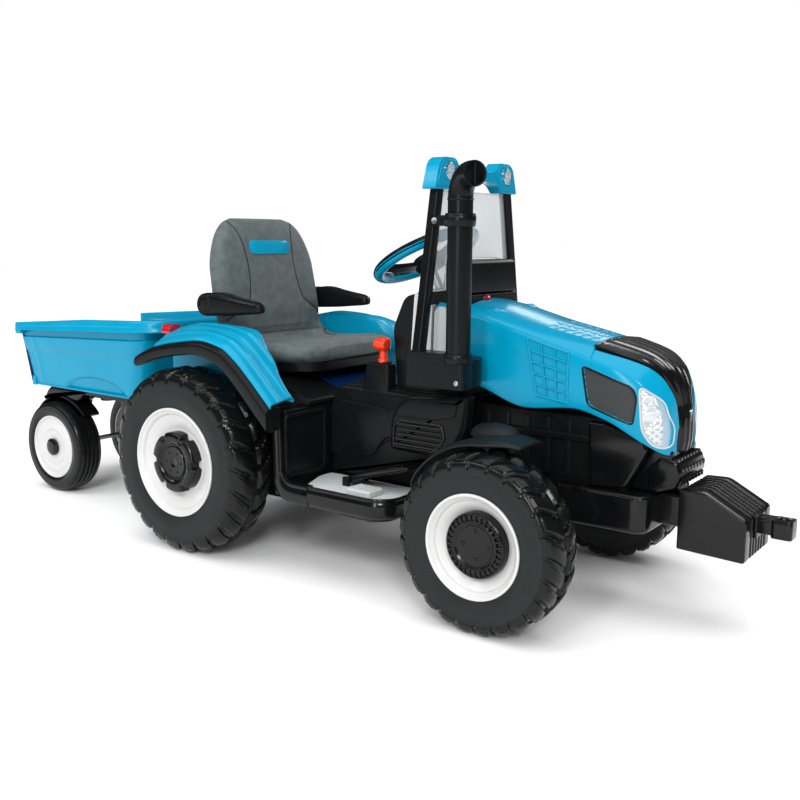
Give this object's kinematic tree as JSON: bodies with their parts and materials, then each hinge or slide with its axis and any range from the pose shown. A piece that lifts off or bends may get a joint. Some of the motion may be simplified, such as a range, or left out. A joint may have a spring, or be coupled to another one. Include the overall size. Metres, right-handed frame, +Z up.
{
  "type": "ride-on toy tractor with trailer",
  "caption": "Child's battery ride-on farm tractor with steering front wheels, sliding seat, lifting armrests and a towed dump trailer with a drop tailgate.",
  "frame": {"origin": "on the ground, under the middle of the overall length and width", "axes": "+X forward, +Y to the driver's left, +Z up"},
  "size_m": [1.856, 0.604, 0.78],
  "materials": {
    "blue_shell": "glossy moulded",
    "tyre_black": "glossy black moulded tread",
    "white_rim": "satin moulded",
    "clear_lens": "clear moulded",
    "screen_clear": "lightly frosted sheet",
    "red_lens": "glossy translucent red",
    "orange_lever": "glossy moulded",
    "seat_vinyl": "grained matte vinyl",
    "light_grey": "fine grain",
    "steel": "drawn and plated",
    "inner_casing": "moulded casing",
    "black_plastic": "semi-gloss moulded"
  },
  "bodies": {
    "tractor": {"chassis": "black_plastic", "center_tunnel": "black_plastic", "foot_mats": "light_grey", "rear_body": "blue_shell", "fender_right": "blue_shell", "fender_left": "blue_shell", "fender_liners": "black_plastic", "red_lamps": "red_lens", "hood": "blue_shell", "side_grilles": "black_plastic", "nose_grille": "black_plastic", "headlights": "clear_lens", "nose_bumper": "black_plastic", "dash_cowl": "black_plastic", "dash_trim": "light_grey", "windscreen_frame": "black_plastic", "windscreen": "screen_clear", "roof_bar": "blue_shell", "work_lights": "clear_lens", "exhaust_stack": "black_plastic", "pillar_brackets": "black_plastic", "front_weight": "black_plastic", "tow_hook": "black_plastic", "battery": "inner_casing", "gearmotors": "inner_casing", "rear_axle": "steel"},
    "steering": {"steering_wheel": "black_plastic", "steering_column": "steel"},
    "tie_rod": {"tie_rod": "steel"},
    "knuckle_right": {"knuckle_right": "steel", "front_fender_right": "black_plastic"},
    "knuckle_left": {"knuckle_left": "steel", "front_fender_left": "black_plastic"},
    "front_wheel_right": {"front_tyre_right": "tyre_black", "front_rim_right": "white_rim", "front_hub_cap_right": "black_plastic"},
    "front_wheel_left": {"front_tyre_left": "tyre_black", "front_rim_left": "white_rim", "front_hub_cap_left": "black_plastic"},
    "rear_wheel_right": {"rear_tyre_right": "tyre_black", "rear_rim_right": "white_rim", "rear_hub_cap_right": "black_plastic"},
    "rear_wheel_left": {"rear_tyre_left": "tyre_black", "rear_rim_left": "white_rim", "rear_hub_cap_left": "black_plastic"},
    "pedal": {"accelerator_pedal": "black_plastic"},
    "gear_lever": {"gear_lever": "orange_lever"},
    "seat": {"seat_pad": "seat_vinyl", "seat_base": "black_plastic"},
    "armrest_right": {"armrest_right": "black_plastic"},
    "armrest_left": {"armrest_left": "black_plastic"},
    "hitch_pin": {"hitch_pin": "steel"},
    "trailer": {"trailer_chassis": "black_plastic", "trailer_tub": "blue_shell", "trailer_axle": "steel"},
    "tailgate": {"tailgate": "blue_shell"},
    "trailer_wheel_right": {"trailer_tyre_right": "tyre_black", "trailer_rim_right": "white_rim"},
    "trailer_wheel_left": {"trailer_tyre_left": "tyre_black", "trailer_rim_left": "white_rim"}
  },
  "joints": [
    {"name": "steering_turn", "type": "hinge", "parent": "tractor", "child": "steering", "pos_m": [0.213, 0, 0.605], "axis": [-0.4695, 0, 0.8829], "range_deg": [-45, 45]},
    {"name": "kingpin_right", "type": "hinge", "parent": "tractor", "child": "knuckle_right", "pos_m": [0.509, -0.185, 0.176], "axis": [0, 0, 1], "range_deg": [-18.1, 18.1]},
    {"name": "kingpin_left", "type": "hinge", "parent": "tractor", "child": "knuckle_left", "pos_m": [0.509, 0.185, 0.176], "axis": [0, 0, 1], "range_deg": [-18.1, 18.1]},
    {"name": "tie_rod_slide", "type": "slide", "parent": "tractor", "child": "tie_rod", "axis": [0, -1, 0], "range_m": [-0.0158, 0.0158]},
    {"name": "front_roll_right", "type": "hinge", "parent": "knuckle_right", "child": "front_wheel_right", "pos_m": [0.509, -0.249, 0.152], "axis": [0, 1, 0], "continuous": true},
    {"name": "front_roll_left", "type": "hinge", "parent": "knuckle_left", "child": "front_wheel_left", "pos_m": [0.509, 0.249, 0.152], "axis": [0, 1, 0], "continuous": true},
    {"name": "rear_roll_right", "type": "hinge", "parent": "tractor", "child": "rear_wheel_right", "pos_m": [-0.194, -0.249, 0.19], "axis": [0, 1, 0], "continuous": true},
    {"name": "rear_roll_left", "type": "hinge", "parent": "tractor", "child": "rear_wheel_left", "pos_m": [-0.194, 0.249, 0.19], "axis": [0, 1, 0], "continuous": true},
    {"name": "pedal_press", "type": "hinge", "parent": "tractor", "child": "pedal", "pos_m": [0.166, -0.16, 0.187], "axis": [0, 1, 0], "range_deg": [0, 9], "stiffness_Nm_per_rad": 1.2, "springref_deg": -14.32},
    {"name": "gear_select", "type": "hinge", "parent": "tractor", "child": "gear_lever", "pos_m": [0.188, -0.1035, 0.38], "axis": [0, 1, 0], "range_deg": [-11, 11]},
    {"name": "seat_adjust", "type": "slide", "parent": "tractor", "child": "seat", "axis": [1, 0, 0], "range_m": [0, 0.05]},
    {"name": "armrest_lift_right", "type": "hinge", "parent": "seat", "child": "armrest_right", "pos_m": [-0.216, -0.17, 0.5], "axis": [0, -1, 0], "range_deg": [0, 85]},
    {"name": "armrest_lift_left", "type": "hinge", "parent": "seat", "child": "armrest_left", "pos_m": [-0.216, 0.17, 0.5], "axis": [0, -1, 0], "range_deg": [0, 85]},
    {"name": "hitch_pin_pull", "type": "slide", "parent": "tractor", "child": "hitch_pin", "axis": [0, 0, 1], "range_m": [0, 0.05]},
    {"name": "trailer_yaw", "type": "hinge", "parent": "tractor", "child": "trailer", "pos_m": [-0.344, 0, 0.216], "axis": [0, 0, 1], "range_deg": [-16, 16]},
    {"name": "tailgate_drop", "type": "hinge", "parent": "trailer", "child": "tailgate", "pos_m": [-0.872, 0, 0.262], "axis": [0, -1, 0], "range_deg": [0, 95]},
    {"name": "trailer_roll_right", "type": "hinge", "parent": "trailer", "child": "trailer_wheel_right", "pos_m": [-0.814, -0.126, 0.114], "axis": [0, 1, 0], "continuous": true},
    {"name": "trailer_roll_left", "type": "hinge", "parent": "trailer", "child": "trailer_wheel_left", "pos_m": [-0.814, 0.126, 0.114], "axis": [0, 1, 0], "continuous": true}
  ],
  "couplings": [
    {"joint": "kingpin_right", "follows": "steering_turn", "ratio": 0.4},
    {"joint": "kingpin_left", "follows": "steering_turn", "ratio": 0.4},
    {"joint": "tie_rod_slide", "follows": "steering_turn", "m_per_rad": 0.02}
  ]
}
